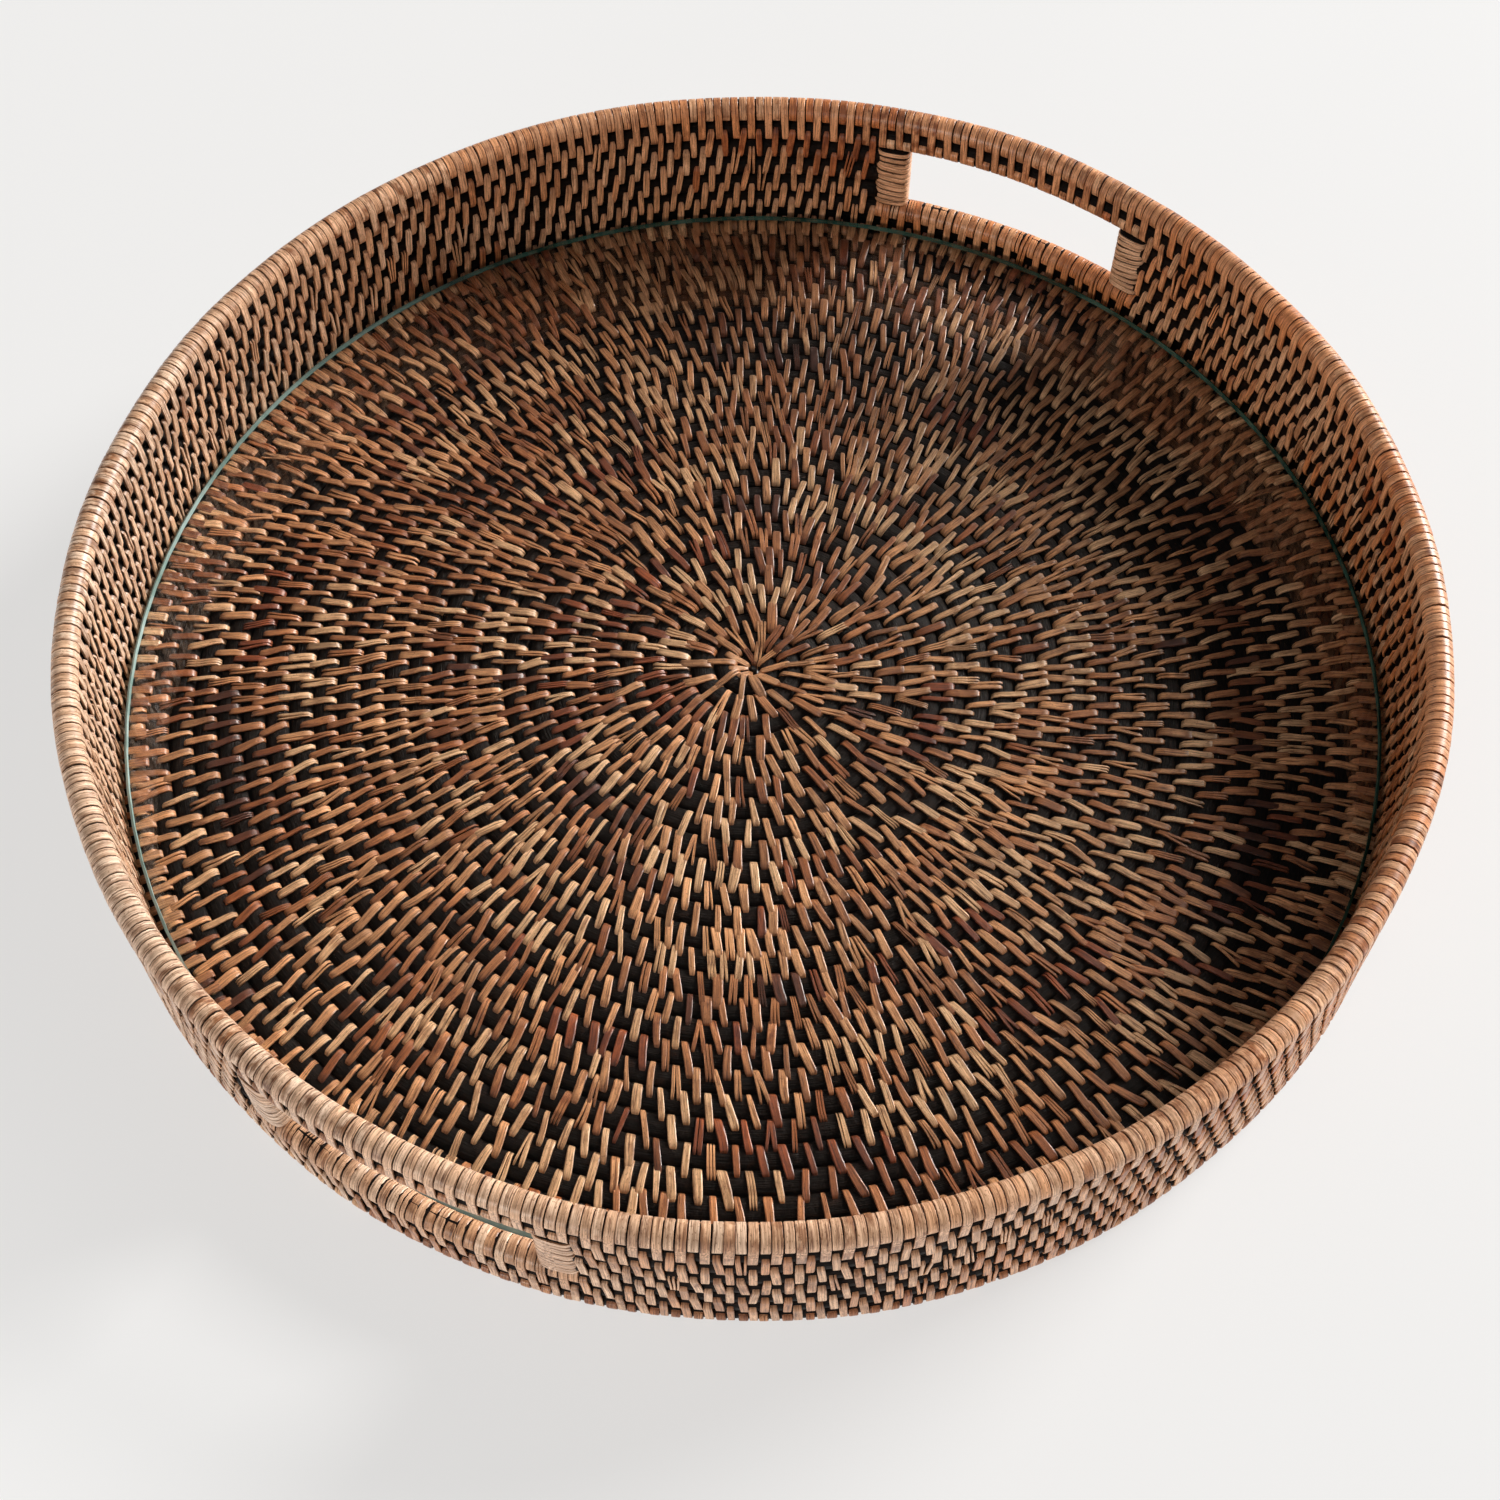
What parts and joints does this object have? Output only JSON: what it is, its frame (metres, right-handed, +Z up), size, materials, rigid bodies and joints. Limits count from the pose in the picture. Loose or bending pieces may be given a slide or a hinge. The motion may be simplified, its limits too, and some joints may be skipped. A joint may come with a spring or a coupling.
{
  "type": "tray basket",
  "caption": "Round coiled-rattan tray basket with two opposite cut-out hand holds in a low upright wall and a loose round glass insert.",
  "frame": {"origin": "centre of the circle the tray stands on, on the ground", "axes": "+Z up; +X and -X through the middle of the two hand holds"},
  "size_m": [0.5088, 0.5088, 0.0801],
  "materials": {
    "glass": "clear float glass, polished, green at the edge",
    "dark_cane": "round rattan foundation cane, stained near black, satin lacquer",
    "binding": "split rattan strip, tan to red-brown, satin lacquer",
    "pale_binding": "split rattan strip, pale straw to tan, satin lacquer"
  },
  "bodies": {
    "basket": {"base_coil_cane": "dark_cane", "base_binding": "binding", "wall_coil_1": "dark_cane", "wall_coil_2": "dark_cane", "wall_coil_3": "dark_cane", "wall_coil_7": "dark_cane", "wall_coil_4_back": "dark_cane", "wall_coil_4_front": "dark_cane", "wall_coil_5_back": "dark_cane", "wall_coil_5_front": "dark_cane", "wall_coil_6_back": "dark_cane", "wall_coil_6_front": "dark_cane", "rim_cane": "dark_cane", "wall_binding": "binding", "rim_binding": "pale_binding", "sill_binding_1": "binding", "lintel_binding_1": "binding", "sill_binding_2": "binding", "lintel_binding_2": "binding", "handle_post_1": "dark_cane", "post_binding_1": "pale_binding", "handle_post_2": "dark_cane", "post_binding_2": "pale_binding", "handle_post_3": "dark_cane", "post_binding_3": "pale_binding", "handle_post_4": "dark_cane", "post_binding_4": "pale_binding"},
    "glass": {"glass_insert": "glass"}
  },
  "joints": [
    {"name": "glass_lift", "type": "slide", "parent": "basket", "child": "glass", "axis": [0, 0, 1], "range_m": [0, 0.12]}
  ]
}
